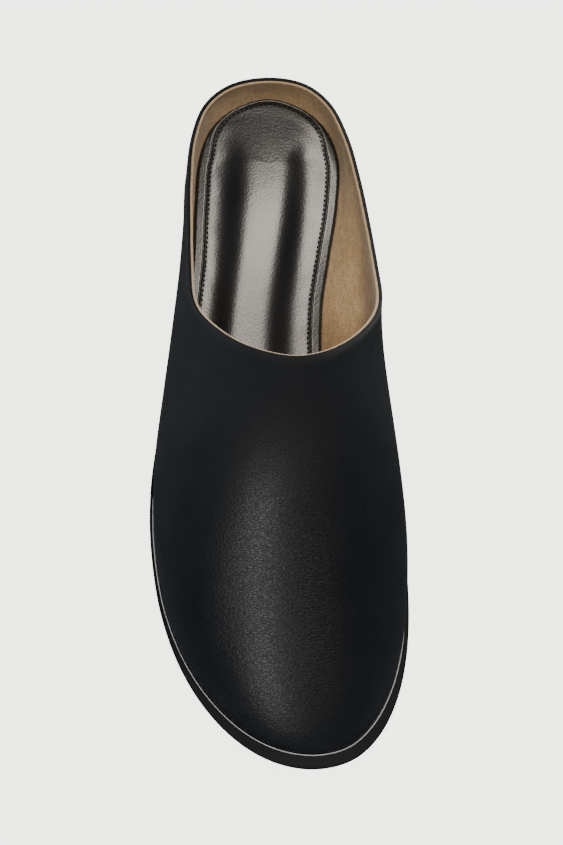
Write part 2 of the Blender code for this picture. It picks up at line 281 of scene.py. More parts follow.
@dataclass
class ShoeForm:
    """The shoe's named sizes and the curves worked out from them, as in the CAD source."""

    last_length: float = 0.240
    ball_width: float = 0.090
    instep_height: float = 0.0710
    heel_height: float = 0.0165
    rim_height: float = 0.0150
    toe_spring: float = 0.0065
    sole_thickness: float = 0.0042
    wall: float = 0.0022
    gap: float = 0.0003
    sole_margin: float = 0.0016
    toe_margin: float = 0.0036
    heel_margin: float = 0.0022
    toe_margin_end: float = 0.32
    heel_margin_start: float = 0.80
    turn_span: float = 0.03
    row_crowding: float = 1.3
    shift: tuple[float, float] = (0.0, 0.0)

    def place(self, back: Array, across: Array, high: Array) -> Array:
        """Shoe distances as points of the shared frame."""
        return np.stack([across + self.shift[0], back + self.shift[1], high], axis=-1)

    def over_bed(self, plan: Array, high: Array | float) -> Array:
        """Plan points as points of the shared frame, at a height over the top of the sole."""
        return self.place(plan[:, 0], plan[:, 1], self.bed(plan[:, 0]) + high)

    def bed(self, back: Array) -> Array:
        """Height of the top of the sole.

        Args:
            back: distances back from the toe.

        Returns:
            The height at each.
        """
        toe, heel = (smooth_table(BED_LINE, k, np.asarray(back) / self.last_length) for k in (1, 2))
        rise = self.heel_height - self.sole_thickness
        return self.sole_thickness + toe * self.toe_spring + heel * rise

    def half_curve(self, rows: list[tuple], point: Callable, side: Side, count: int) -> Array:
        """Even points along one side, on a curve that goes on to the other side past both ends.

        Args:
            rows: table of the curve, toe to heel.
            point: gives the point of a row on a side.
            side: which side.
            count: how many points to give back.

        Returns:
            The points.
        """
        before, after = point(rows[1], side.other), point(rows[-2], side.other)
        return spline_points([before, *(point(row, side) for row in rows), after], count)

    def sole_half(self, side: Side, count: int) -> Array:
        """Plan curve of the sole line on one side, toe to heel centre."""
        return self.half_curve(SOLE_LINE, self.plan_point, side, count)

    def plan_point(self, row: tuple, side: Side) -> tuple[float, float]:
        """Row of back, inner and outer as a (back, across) point."""
        return (row[0] * self.last_length, side.sign * row[side.value] * self.ball_width)

    def sole_loop(self, half: int, grow: float, toe: float = 0.0, heel: float = 0.0) -> Array:
        """Closed sole line in plan, grown outwards.

        Args:
            half: spans along each side.
            grow: distance out all round.
            toe: more distance out at the toe.
            heel: more distance out at the heel.

        Returns:
            Loop of (back, across) points.
        """
        inner = self.sole_half(Side.INNER, half + 1)
        outer = self.sole_half(Side.OUTER, half + 1)
        loop = np.vstack([inner, outer[-2:0:-1]])
        share = loop[:, 0] / self.last_length
        extra = toe * np.clip(1.0 - share / self.toe_margin_end, 0.0, 1.0) ** 2
        start = self.heel_margin_start
        extra += heel * np.clip((share - start) / (1.0 - start), 0.0, 1.0) ** 2
        return loop + loop_normals(loop) * (grow + extra)[:, None]

    def top_half(self, side: Side, count: int) -> Array:
        """Top edge of the upper on one side as (back, across, high) points."""
        return self.half_curve(TOP_LINE, self.top_point, side, count)

    def top_point(self, row: tuple, side: Side) -> tuple[float, float, float]:
        """One row of the top line as a (back, across, high) point."""
        rim = self.heel_height + self.rim_height
        return (*self.plan_point(row[1:], side), rim + row[4] * (self.instep_height - rim))

    def wall_half(self, side: Side, half: int, rows: int) -> Array:
        """Outer face of the upper on one side.

        Args:
            side: which side.
            half: spans from toe to heel.
            rows: spans from sole line to top edge.

        Returns:
            Array (half + 1, rows + 1, 3) of back, across, high.
        """
        runs = np.linspace(0.0, 1.0, half + 1)
        plan = self.sole_half(side, half + 1)
        ends = even_points(self.top_half(side, 600), smooth_table(WALL_SHAPE, 1, runs))
        ahead = np.gradient(plan, axis=0)
        ahead[0], ahead[-1] = (0.0, side.sign), (0.0, -side.sign)
        outward = unit(ahead[:, ::-1] * (-side.sign, side.sign))
        start = np.column_stack([plan, self.bed(plan[:, 0]) + self.gap])
        rise, fall = smooth_table(WALL_SHAPE, 2, runs), smooth_table(WALL_SHAPE, 5, runs)
        swell = smooth_table(WALL_SHAPE, 2 + side.value, runs)
        angle = np.radians(smooth_table(WALL_SHAPE, 6, runs))
        away = start[:, :2] - ends[:, :2]
        mix = np.minimum(1.0, np.linalg.norm(away, axis=1) / self.turn_span)[:, None]
        pull = unit(unit(away) * mix + outward * (1.0 - mix))
        first = np.column_stack([start[:, :2] + outward * swell[:, None], start[:, 2] + rise])
        second = np.column_stack([
            ends[:, :2] + pull * (fall * np.cos(angle))[:, None],
            ends[:, 2] - fall * np.sin(angle),
        ])
        t = np.linspace(0.0, 1.0, 90)[:, None, None]
        line = (1 - t) ** 3 * start + 3 * t * (1 - t) ** 2 * first
        line = line + 3 * t ** 2 * (1 - t) * second + t ** 3 * ends
        shares = np.linspace(0.0, 1.0, rows + 1) ** self.row_crowding
        return np.array([even_points(line[:, i], shares) for i in range(half + 1)])

    def wall_grid(self, half: int, rows: int) -> Array:
        """Outer face of the upper all round, as points of the shared frame."""
        inner, outer = (self.wall_half(side, half, rows) for side in Side)
        return self.place(*np.moveaxis(np.concatenate([inner, outer[-2:0:-1]]), -1, 0))


def grid_normals(grid: Array) -> Array:
    """Outward unit normals of a grid closed in its first direction."""
    around = np.roll(grid, -1, axis=0) - np.roll(grid, 1, axis=0)
    return unit(np.cross(around, np.gradient(grid, axis=1)))


def ease_ridge(grid: Array, reach: int) -> Array:
    """Take the slight ridge out of the line from toe to throat, where both sides meet.

    Args:
        grid: grid closed in its first direction, whose first column is that line.
        reach: how many columns on either side move a little.

    Returns:
        The eased grid.
    """
    n = len(grid)
    second = np.roll(grid, -1, axis=0) + np.roll(grid, 1, axis=0) - 2.0 * grid
    kink = second[0] - second[[3, 4, 5, -3, -4, -5]].mean(axis=0)
    away = np.minimum(np.arange(n), n - np.arange(n))
    share = away * np.clip(1.0 - away / reach, 0.0, 1.0) ** 2
    return grid - 0.5 * kink[None] * share[:, None, None]


def put(name: str, data: ID) -> Object:
    """New object, linked to the scene.

    Args:
        name: its name.
        data: the mesh, curve, light or camera that it shows.

    Returns:
        The object.
    """
    obj = bpy.data.objects.new(name, data)
    bpy.context.scene.collection.objects.link(obj)
    return obj


def ring_mesh(name: str, rings: list[Array], close: bool = False) -> Object:
    """Mesh object skinned through closed rings of points.

    Args:
        name: object name.
        rings: arrays (n, 3); neighbouring rings have the same count.
        close: whether the last ring joins the first.

    Returns:
        The new object, smooth shaded, with doubles merged and normals outwards.
    """
    n = len(rings[0])
    points = np.vstack(rings)
    index = np.arange(len(points)).reshape(len(rings), n)
    low = index if close else index[:-1]
    high = np.roll(index, -1, axis=0) if close else index[1:]
    faces = np.stack([low, np.roll(low, -1, axis=1), np.roll(high, -1, axis=1), high], axis=-1)
    mesh = bpy.data.meshes.new(name)
    mesh.from_pydata(points.tolist(), [], faces.reshape(-1, 4).tolist())
    clean_mesh(mesh)
    return put(name, mesh)


def clean_mesh(mesh: Mesh) -> None:
    """Merge doubles, point normals outwards and shade smooth.

    Args:
        mesh: the mesh to clean.
    """
    bm = bmesh.new()
    bm.from_mesh(mesh)
    bmesh.ops.remove_doubles(bm, verts=bm.verts[:], dist=1e-6)
    bmesh.ops.dissolve_degenerate(bm, edges=bm.edges[:], dist=1e-7)
    bmesh.ops.recalc_face_normals(bm, faces=bm.faces[:])
    bm.to_mesh(mesh)
    bm.free()
    mesh.shade_smooth()


# Shader building


class Channel:
    """A shader socket whose arithmetic adds Math nodes."""

    def __init__(self, graph: "ShaderGraph", socket: NodeSocket) -> None:
        """Keep the socket and the graph that it belongs to."""
        self.graph = graph
        self.socket = socket

    def math(self, operation: str, *others: "Channel | float", flip: bool = False) -> "Channel":
        """Result of one Math node on this value and others, these first if flipped."""
        values = [*others, self] if flip else [self, *others]
        return self.graph.node("ShaderNodeMath", {"operation": operation}, dict(enumerate(values)))

    def __add__(self, other: "Channel | float") -> "Channel":
        """Sum."""
        return self.math("ADD", other)

    def __sub__(self, other: "Channel | float") -> "Channel":
        """Difference."""
        return self.math("SUBTRACT", other)

    def __rsub__(self, other: float) -> "Channel":
        """Difference from a number."""
        return self.math("SUBTRACT", other, flip=True)

    def __mul__(self, other: "Channel | float") -> "Channel":
        """Product."""
        return self.math("MULTIPLY", other)

    __radd__ = __add__
    __rmul__ = __mul__

    def smooth(self, low: float, high: float, start: float = 0.0, end: float = 1.0) -> "Channel":
        """Smooth step from start to end as this goes from low to high."""
        return self.graph.node(
            "ShaderNodeMapRange",
            {"interpolation_type": "SMOOTHSTEP", "clamp": True},
            {"Value": self, "From Min": low, "From Max": high, "To Min": start, "To Max": end},
        )


class ShaderGraph:
    """A material's node tree, built through one node-making method."""

    def __init__(self, name: str) -> None:
        """Start an empty material with an output and object coordinates.

        Args:
            name: material name.
        """
        self.material = bpy.data.materials.new(name)
        self.material.use_nodes = True
        self.tree = self.material.node_tree
        self.tree.nodes.clear()
        self.output = self.tree.nodes.new("ShaderNodeOutputMaterial")
        self.where = self.node("ShaderNodeTexCoord", result="Object")

    def node(
        self,
        kind: str,
        settings: dict | None = None,
        inputs: dict | None = None,
        result: int | str = 0,
    ) -> Channel:
        """Add a node.

        Args:
            kind: node type.
            settings: node properties, set first.
            inputs: values or channels by socket name or number.
            result: output socket to return.

        Returns:
            The chosen output as a channel.
        """
        made = self.tree.nodes.new(kind)
        for key, value in (settings or {}).items():
            setattr(made, key, value)
        for key, value in (inputs or {}).items():
            socket = made.inputs[key]
            if isinstance(value, Channel):
                self.tree.links.new(value.socket, socket)
            else:
                socket.default_value = value
        return Channel(self, made.outputs[result])

    def stretch(self, scale: tuple, turn: float = 0.0, where: Channel | None = None) -> Channel:
        """A place, or else the object coordinates, scaled per axis and turned about Z."""
        inputs = {"Vector": where or self.where, "Scale": scale, "Rotation": (0.0, 0.0, turn)}
        return self.node("ShaderNodeMapping", {}, inputs)

    def noise(
        self, scale: float, detail: float = 3.0, rough: float = 0.55, where: Channel | None = None
    ) -> Channel:
        """Noise value over a place, or else over the object coordinates."""
        inputs = {"Vector": where or self.where, "Scale": scale, "Detail": detail, "Roughness": rough}
        return self.node("ShaderNodeTexNoise", {}, inputs)

    def cells(self, scale: float, feature: str = "SMOOTH_F1", where: Channel | None = None) -> Channel:
        """Cell distance over a place, or else over the object coordinates."""
        inputs = {"Vector": where or self.where, "Scale": scale}
        return self.node("ShaderNodeTexVoronoi", {"feature": feature}, inputs)

    def mix(self, amount: Channel | float, first: tuple | Channel, second: tuple | Channel) -> Channel:
        """Colour mixed from first to second."""
        ends = [(*end, 1.0) if isinstance(end, tuple) else end for end in (first, second)]
        return self.node("ShaderNodeMix", {"data_type": "RGBA"}, {0: amount, 6: ends[0], 7: ends[1]}, 2)

    def edge(self) -> Channel:
        """The piece's "edge" attribute, 1 on its top edge, where a painted highlight goes."""
        return self.node("ShaderNodeAttribute", {"attribute_name": "edge"}, result="Fac")

    def surface(
        self,
        tone: Channel | tuple,
        rough: Channel | float,
        specular: float,
        relief: tuple[Channel, float] | None = None,
        more: dict | None = None,
    ) -> Material:
        """Finish with one Principled BSDF.

        Args:
            tone: base colour.
            rough: roughness.
            specular: specular level.
            relief: a height between 0 and 1, and its real depth in metres.
            more: other inputs by name.

        Returns:
            The material.
        """
        inputs = {"Base Color": tone, "Roughness": rough, "Specular IOR Level": specular, **(more or {})}
        if relief:
            bump = {"Height": relief[0], "Distance": relief[1], "Strength": 1.0}
            inputs["Normal"] = self.node("ShaderNodeBump", {}, bump)
        shader = self.node("ShaderNodeBsdfPrincipled", {}, inputs)
        self.tree.links.new(shader.socket, self.output.inputs["Surface"])
        return self.material


@dataclass(frozen=True)
class UpperLeather:
    """Smooth black leather with a fine pebble grain, and a painted highlight on its top edge."""

    name: str = "black_upper_leather"
    grain: float = 0.00064
    depth: float = 0.00010
    wander: float = 0.0007
    polished_to: float = -0.050
    matt_from: float = -0.004

    def build(self) -> Material:
        """Make the material: polished over the toe, matt towards the throat."""
        g = ShaderGraph(self.name)
        inputs = {"Vector": g.where, "Scale": 420.0, "Detail": 2.0}
        bend = g.node("ShaderNodeTexNoise", {}, inputs, "Color")
        inputs = {0: bend, 1: (self.wander,) * 3, 2: g.where}
        bent = g.node("ShaderNodeVectorMath", {"operation": "MULTIPLY_ADD"}, inputs)
        lying = g.stretch((0.50, 1.30, 1.30), 0.30, bent)
        pebble = g.cells(1.0 / self.grain, where=lying)
        creases = g.cells(0.7 / self.grain, "DISTANCE_TO_EDGE", lying).smooth(0.0, 0.18)
        pores = g.noise(5200.0, 1.0)
        height = (1.0 - pebble) * 0.72 + creases * 0.18 + pores * 0.10
        cloud = g.noise(26.0, 4.0)
        tone = g.mix(cloud.smooth(0.35, 0.7), (0.0052, 0.0066, 0.0092), (0.0076, 0.0090, 0.0116))
        # Painted highlight: the top edge roll is mixed towards slate grey by the edge attribute,
        # strongest on the inner side, standing in for the light that the rolled edge catches there.
        tone = g.mix(g.edge(), tone, (0.030, 0.032, 0.034))
        back = g.node("ShaderNodeSeparateXYZ", {}, {"Vector": g.where}, "Y")
        rough = back.smooth(self.polished_to, self.matt_from, 0.33, 0.78)
        uneven = (g.noise(240.0, 2.0) - 0.5) * 0.05 + (cloud - 0.5) * 0.10
        return g.surface(tone, rough + (1.0 - creases) * 0.12 + uneven, 0.34, (height, self.depth))


@dataclass(frozen=True)
class SuedeLining:
    """Tan brushed lining leather with a short nap, and a painted highlight on its top edge."""

    name: str = "tan_suede_lining"

    def build(self) -> Material:
        """Make the material."""
        g = ShaderGraph(self.name)
        nap = g.noise(1500.0, 4.0, 0.7)
        strokes = g.noise(1.0, 3.0, where=g.stretch((900.0, 260.0, 420.0), 0.5))
        cloud = g.noise(70.0, 4.0, 0.6)
        tan = g.mix(cloud.smooth(0.3, 0.72), (0.780, 0.520, 0.270), (0.930, 0.680, 0.400))
        flecks = g.mix(nap.smooth(0.36, 0.66) * 0.55, (0.410, 0.275, 0.145), tan)
        tone = g.mix(strokes.smooth(0.35, 0.75) * 0.4, flecks, tan)
        # Painted highlight: the lining's top roll is mixed towards pale tan by the edge attribute,
        # strongest where the edge leans back, standing in for the reflection of the bright background
        # behind.
        tone = g.mix(g.edge() * 0.75, tone, (0.660, 0.570, 0.440))
        height = nap * 0.7 + strokes * 0.3
        sheen = {"Sheen Weight": 0.25, "Sheen Roughness": 0.5}
        return g.surface(tone, 0.94, 0.2, (height, 0.00016), sheen)


@dataclass(frozen=True)
class SockLeather:
    """Polished black sock leather with fine grain and soft dents."""

    name: str = "glossy_sock_leather"

    def build(self) -> Material:
        """Make the material."""
        g = ShaderGraph(self.name)
        pebble = g.cells(1500.0)
        dents = g.noise(95.0, 1.0)
        cloud = g.noise(38.0, 3.0)
        tone = g.mix(cloud.smooth(0.3, 0.7), (0.0075, 0.0086, 0.0105), (0.0110, 0.0118, 0.0135))
        rough = 0.25 + (cloud - 0.5) * 0.10 + pebble * 0.05
        height = (1.0 - pebble) * 0.35 + dents * 0.65
        coat = {"Coat Weight": 0.25, "Coat Roughness": 0.2}
        return g.surface(tone, rough, 0.62, (height, 0.00009), coat)


@dataclass(frozen=True)
class SoleEdge:
    """Black inked and waxed sole edge."""

    name: str = "black_sole_edge"

    def build(self) -> Material:
        """Make the material."""
        g = ShaderGraph(self.name)
        layers = g.noise(1.0, 3.0, where=g.stretch((160.0, 160.0, 4200.0)))
        wear = g.noise(420.0, 4.0, 0.65)
        tone = g.mix(wear.smooth(0.45, 0.8), (0.0044, 0.0054, 0.0072), (0.0076, 0.0088, 0.0108))
        height = layers * 0.6 + wear * 0.4
        return g.surface(tone, 0.50 + wear * 0.14, 0.16, (height, 0.00007))


@dataclass(frozen=True)
class HeelCover:
    """Dark heel block with faint stacked layers."""

    name: str = "black_heel_block"

    def build(self) -> Material:
        """Make the material."""
        g = ShaderGraph(self.name)
        layers = g.node(
            "ShaderNodeTexWave", {"wave_type": "BANDS", "bands_direction": "Z", "wave_profile": "SAW"},
            {"Vector": g.where, "Scale": 95.0, "Distortion": 0.4, "Detail": 1.0}, "Fac",
        )
        fibre = g.noise(1.0, 4.0, where=g.stretch((300.0, 300.0, 2600.0)))
        cloud = g.noise(60.0, 3.0)
        tone = g.mix(cloud.smooth(0.3, 0.75), (0.0066, 0.0072, 0.0088), (0.0120, 0.0126, 0.0142))
        height = layers.smooth(0.0, 0.12) * 0.5 + fibre * 0.5
        return g.surface(tone, 0.50 + fibre * 0.14, 0.38, (height, 0.00006))


@dataclass(frozen=True)
class TopPieceRubber:
    """Matt black rubber wearing piece with a fine moulded tread."""

    name: str = "black_heel_rubber"

    def build(self) -> Material:
        """Make the material."""
        g = ShaderGraph(self.name)
        tread = g.cells(420.0, "DISTANCE_TO_EDGE", g.stretch((1.0, 1.0, 1.0), 0.785))
        dust = g.noise(240.0, 4.0, 0.7)
        tone = g.mix(dust.smooth(0.45, 0.8), (0.0110, 0.0114, 0.0124), (0.0200, 0.0200, 0.0205))
        height = tread.smooth(0.0, 0.10) * 0.8 + dust * 0.2
        return g.surface(tone, 0.72 + dust * 0.15, 0.3, (height, 0.00012))


@dataclass(frozen=True)
class JunctionHighlightBead:
    """Fine polished bead between upper and sole, its pale grey a painted highlight of the bright line
    along the junction.
    """

    name: str = "junction_highlight_bead"

    def build(self) -> Material:
        """Make the material."""
        g = ShaderGraph(self.name)
        speck = g.noise(900.0, 3.0)
        # Painted highlight: pale grey tone standing in for the light caught along the junction line.
        tone = g.mix(speck.smooth(0.35, 0.7), (0.52, 0.54, 0.56), (0.70, 0.72, 0.74))
        return g.surface(tone, 0.34 + speck * 0.1, 0.5, (speck, 0.00003))


@dataclass(frozen=True)
class WaxedThread:
    """Black waxed sewing thread."""

    name: str = "black_waxed_thread"

    def build(self) -> Material:
        """Make the material."""
        g = ShaderGraph(self.name)
        twist = g.noise(1.0, 2.0, where=g.stretch((5200.0, 2100.0, 2100.0), 0.8))
        tone = g.mix(twist.smooth(0.35, 0.7), (0.004, 0.004, 0.005), (0.009, 0.009, 0.010))
        return g.surface(tone, 0.75 + twist * 0.15, 0.10, (twist, 0.00005))


@dataclass(frozen=True)
class PaleFloor:
    """Plain pale warm grey paper."""

    name: str = "pale_floor"

    def build(self) -> Material:
        """Make the material."""
        glow = {"Emission Color": (0.812, 0.822, 0.772, 1.0), "Emission Strength": 4.6}
        return ShaderGraph(self.name).surface((0.25, 0.25, 0.247, 1.0), 1.0, 0.0, more=glow)


# Pieces


def finish_piece(obj: Object, material: Material, slot: str, *nodes: str) -> None:
    """Dress a piece and tie it to the shoe's body.

    Args:
        obj: the piece.
        material: its finish.
        slot: the record's material slot; not used.
        nodes: CAD nodes that it stands for.
    """
    obj.data.materials.clear()
    obj.data.materials.append(material)
    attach(obj, "root")
    if nodes:
        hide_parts(*nodes)
    LOG.info("%s: %d faces", obj.name, len(obj.data.polygons))


@dataclass
class Upper:
    """Leather upper with a turned top edge, and the lining inside it."""

    form: ShoeForm
    half: int = 150
    rows: int = 46
    ridge_reach: int = 26
    leather: float = 0.00125
    tuck: float = 0.0011
    lining_drop: float = 0.00005
    # Reach and strength of the painted highlight on the top edges of leather and lining.
    edge_full: float = 0.0003
    edge_end: float = 0.0011
    edge_side: float = 0.0014
    edge_least: float = 0.25
    lining_edge_least: float = 0.15
    between: float = 0.00005
    round_steps: int = 9

    def shells(self) -> tuple[Array, Array, Array]:
        """Faces that both shells follow.

        Returns:
            Outer grid, its normals and the up direction at the top edge.
        """
        grid = ease_ridge(self.form.wall_grid(self.half, self.rows), self.ridge_reach)
        normal = grid_normals(grid)
        return grid, normal, unit(grid[:, -1] - grid[:, -2])

    def build_leather(self) -> Object:
        """Outer leather: face, rounded top edge and hidden back face."""
        grid, normal, up = self.shells()
        radius = self.leather / 2.0
        top_normal = normal[:, -1]
        centre = grid[:, -1] - up * radius - top_normal * radius
        rings = [grid[:, k] for k in range(self.rows)]
        for turn in np.linspace(0.0, math.pi, self.round_steps):
            rings.append(centre + (top_normal * math.cos(turn) + up * math.sin(turn)) * radius)
        rings.append(centre - top_normal * radius - up * self.tuck)
        back = grid - normal * self.leather
        rings += [back[:, k] for k in range(self.rows - 4, -1, -2)]
        obj = ring_mesh("upper_leather", rings, close=True)
        # The painted highlight on the top edge is strongest where the edge faces the inner side, and
        # weaker elsewhere.
        highlight_facing = np.clip(top_normal[:, 0], 0.0, 1.0)
        reach = self.edge_side * highlight_facing ** 2
        self.mark_edge_highlight(obj.data, grid[:, -1], reach, self.edge_least, highlight_facing)
        return obj

    def mark_edge_highlight(self, mesh: Mesh, line: Array, reach: Array, least: float, full: Array) -> None:
        """Write the "edge" attribute that places a painted highlight: strongest on the top edge, 0 away
        from it.

        Args:
            mesh: the piece.
            line: points of the top edge.
            reach: how far down the attribute stays strong at each.
            least: value on the edge where full is 0.
            full: 0 to 1 at each point, 1 where the edge's painted highlight is strongest.
        """
        tree = KDTree(len(line))
        for k, point in enumerate(line):
            tree.insert(point, k)
        tree.balance()
        fade = mesh.attributes.new("edge", "FLOAT", "POINT")
        for vertex, value in zip(mesh.vertices, fade.data):
            _, k, away = tree.find(vertex.co)
            fall = (away - self.edge_full - reach[k]) / (self.edge_end - self.edge_full)
            value.value = (least + (1.0 - least) * full[k]) * min(1.0, max(0.0, 1.0 - fall))

    def build_lining(self) -> Object:
        """Lining shell inside the leather, its own top edge rounded beside the leather's."""
        grid, normal, up = self.shells()
        wall = self.form.wall
        inner, outer = wall, self.leather + self.between
        radius = (inner - outer) / 2.0
        top_normal = normal[:, -1]
        middle = grid[:, -1] - top_normal * (inner + outer) / 2.0 - up * (radius + self.lining_drop)
        face = grid - normal * inner
        keep = self.rows - 1
        while np.linalg.norm(grid[0, keep] - grid[0, -1]) < 2.5 * radius:
            keep -= 1
        rings = [face[:, k] for k in range(keep)]
        for turn in np.linspace(math.pi, 0.0, self.round_steps):
            rings.append(middle + (top_normal * math.cos(turn) + up * math.sin(turn)) * radius)
        inside = grid - normal * outer
        rings += [inside[:, k] for k in (*range(keep - 1, -1, -3), 0)]
        obj = ring_mesh("upper_lining", rings, close=True)
        # The painted highlight on the lining's top edge is strongest where the edge leans back.
        reach = np.full(len(grid), radius * 0.5)
        highlight_leaning = np.clip(up[:, 1] * 1.5, 0.0, 1.0)
        self.mark_edge_highlight(obj.data, middle, reach, self.lining_edge_least, highlight_leaning)
        return obj

    def dress(self) -> None:
        """Make both shells with their finishes."""
        finish_piece(self.build_leather(), UpperLeather().build(), "upper_leather", "upper")
        finish_piece(self.build_lining(), SuedeLining().build(), "upper_leather")


@dataclass
class PaddedSock:
    """Padded sock with a rolled edge, a sewn border and a soft crown."""

    form: ShoeForm
    inset: float = 0.0027
    back_reach: float = 0.0013
    back_from: float = 0.48
    back_over: float = 0.16
    heel_reach: float = 0.0004
    heel_from: float = 0.90
    heel_over: float = 0.08
    spine_inset: float = 0.026
    thick: float = 0.0044
    roll: float = 0.0012
    roll_low: float = 0.62
    roll_rise: float = 0.28
    border: float = 0.0050
    border_rise: float = 0.10
    heel_border: float = 0.0024
    pucker: float = 0.00006
    pucker_rates: tuple[float, float, float] = (410.0, 160.0, 173.0)
    pucker_gap: float = 0.001
    pucker_width: float = 0.0022
    crown: float = 0.0024
    heel_crown: float = 0.46
    heel_width: float = 0.70
    fade_inner: float = 0.82
    fade_outer: float = 0.80
    fade_length: float = 0.18
    side_blend: float = 1.6
    softness: float = 0.024
    shoulder_inner: float = 0.53
    shoulder_outer: float = 0.40
    shoulder_width: float = 0.21
    half: int = 150
    roll_steps: tuple[float, ...] = (0.0, 0.00008, 0.0002, 0.0004, 0.0007, 0.001)
    border_steps: tuple[float, float, float] = (0.0012, 0.0042, 0.00013)
    seam_steps: tuple[float, float, float] = (0.00012, 0.0012, 0.00014)
    crown_rings: int = 34
    stitch_pitch: float = 0.00175
    stitch_length: float = 0.0012
    stitch_width: float = 0.00055

    def layout(self) -> tuple[Array, Array, Array, Array]:
        """Lay the sock out in plan.

        Returns:
            Loop of the edge, the way in from each point, and how far in the middle and the seam lie.
        """
        foot = self.form.sole_loop(self.half, -self.inset, 0.0, self.heel_reach)
        back = foot[:, 0] / self.form.last_length
        behind = np.clip((back - self.back_from) / self.back_over, 0.0, 1.0)
        loop = foot + loop_normals(foot) * (self.back_reach * behind)[:, None]
        toward = middle_line(loop, self.spine_inset) - loop
        reach = np.linalg.norm(toward, axis=1)
        near_heel = ease((loop[:, 0] / self.form.last_length - self.heel_from) / self.heel_over)
        seam = self.border + (self.heel_border - self.border) * near_heel
        return loop, toward / reach[:, None], reach, seam

    def height(self, distance: Array, reach: Array, seam: Array, plan: Array) -> Array:
        """Height of the sock's face over the bed.

        Args:
            distance: distance in from the edge.
            reach: distance from the edge to the middle at the same place.
            seam: distance from the edge to the seam at the same place.
            plan: (back, across) of each point.

        Returns:
            Height over the top of the sole.
        """
        outward = 1.0 - np.clip(distance / self.roll, 0.0, 1.0)
        edge = self.roll_low + self.roll_rise * np.sqrt(1.0 - outward ** 2)
        edge = self.thick * (edge + self.border_rise * np.clip(distance / seam, 0.0, 1.0))
        for past, rise, width in SEAM_LINES:
            edge += rise * bell(distance - seam - past, width)
        share = np.clip((distance - seam) / np.maximum(reach - seam, 1e-6), 0.0, 1.0)
        heel_end = (seam - self.border) / (self.heel_border - self.border)
        along, slant, beat = self.pucker_rates
        wave = np.sin(plan[:, 0] * along + plan[:, 1] * slant) * np.sin(plan[:, 0] * beat)
        wave *= self.pucker * bell(distance - seam - self.pucker_gap, self.pucker_width)
        return edge + self.crown_rise(share, plan, heel_end) + wave

    def crown_rise(self, share: Array, plan: Array, heel_end: Array) -> Array:
        """Rise of the crown, steepest at a shoulder on either side and at the seam behind.

        Args:
            share: 0 at the seam to 1 at the middle.
            plan: (back, across) of each point.
            heel_end: 1 where the edge runs round the back, 0 along the sides.

        Returns:
            Height of the crown over the border.
        """
        turn = 2.0 * math.pi * (np.arange(len(share)) + 0.5) / len(share)
        inner = np.clip(0.5 + self.side_blend * np.sin(turn), 0.0, 1.0)
        from_outer = inner + (0.5 - inner) * ease(share)
        fade = self.fade_outer + (self.fade_inner - self.fade_outer) * from_outer
        back = ease((plan[:, 0] / self.form.last_length - fade) / self.fade_length)
        tall = self.crown * (1.0 - (1.0 - self.heel_crown) * back)
        side = rise_past(share, self.shoulder_outer, self.shoulder_width)
        side += (rise_past(share, self.shoulder_inner, self.shoulder_width) - side) * inner
        return tall * (side + (rise_past(share, 0.0, self.heel_width) - side) * heel_end)

    def build_pad(self) -> Object:
        """The pad itself: flat below, rolled edge, border, crown."""
        loop, toward, reach, seam = self.layout()
        even = np.ones(len(loop))
        under = [
            # in, up
            (reach, 0.0),
            (reach * 0.5, 0.0),
            (reach * 0.1, 0.0),
            (even * (self.back_reach + 0.0008), 0.0),
            (even * (self.back_reach + 0.0001), 0.12),
            (even * 0.0002, 0.42),
        ]
        rings = []
        for distance, up in under:
            plan = loop + toward * distance[:, None]
            rings.append(self.form.over_bed(plan, self.form.gap + self.thick * up))
        places = [even * step for step in self.roll_steps]
        places += [seam * step / self.border for step in np.arange(*self.border_steps)]
        places += [seam + step for step in np.arange(*self.seam_steps)]
        start = places[-1]
        shares = np.linspace(0.0, 1.0, self.crown_rings)[1:]
        places += [start + (reach - start) * share for share in shares]
        for distance in places:
            plan = loop + toward * distance[:, None]
            rings.append(self.on_padding(plan, self.height(distance, reach, seam, plan)))
        return ring_mesh("sock_pad", rings)

    def on_padding(self, plan: Array, high: Array) -> Array:
        """Plan points as points of the shared frame, the bed's bends softened by the padding.

        Args:
            plan: (back, across) of each point.
            high: height of each over the bed.

        Returns:
            The points.
        """
        steps = np.linspace(-1.0, 1.0, 9)
        weights = 1.1 - steps ** 2
        beds = self.form.bed(plan[:, 0] + steps[:, None] * self.softness)
        soft = weights @ beds / weights.sum()
        return self.form.place(plan[:, 0], plan[:, 1], soft + self.form.gap + high)

    def seam_path(self) -> Array:
        """Points of the stitch row on the sock's face."""
        loop, toward, reach, seam = self.layout()
        plan = loop + toward * seam[:, None]
        return self.on_padding(plan, self.height(seam, reach, seam, plan))

    def build_stitches(self, thread: Material) -> Object:
        """Stitches laid along the seam by a node tree.

        Args:
            thread: their finish.

        Returns:
            The stitches as one mesh object.
        """
        path = self.seam_path()
        curve = bpy.data.curves.new("sock_seam", "CURVE")
        curve.dimensions = "3D"
        spline = curve.splines.new("POLY")
        spline.points.add(len(path) - 1)
        for point, place in zip(spline.points, path):
            point.co = (*place, 1.0)
        spline.use_cyclic_u = True
        source = put("sock_seam", curve)
        tree = stitch_tree(thread)
        modifier = source.modifiers.new("stitches", "NODES")
        modifier.node_group = tree
        sizes = {"Pitch": self.stitch_pitch, "Length": self.stitch_length, "Width": self.stitch_width}
        for item in tree.interface.items_tree:
            if item.item_type == "SOCKET" and item.in_out == "INPUT" and item.name in sizes:
                modifier[item.identifier] = sizes[item.name]
        graph = bpy.context.evaluated_depsgraph_get()
        graph.update()
        mesh = bpy.data.meshes.new_from_object(source.evaluated_get(graph))
        bpy.data.objects.remove(source, do_unlink=True)
        mesh.name = "sock_stitches"
        mesh.shade_smooth()
        return put("sock_stitches", mesh)

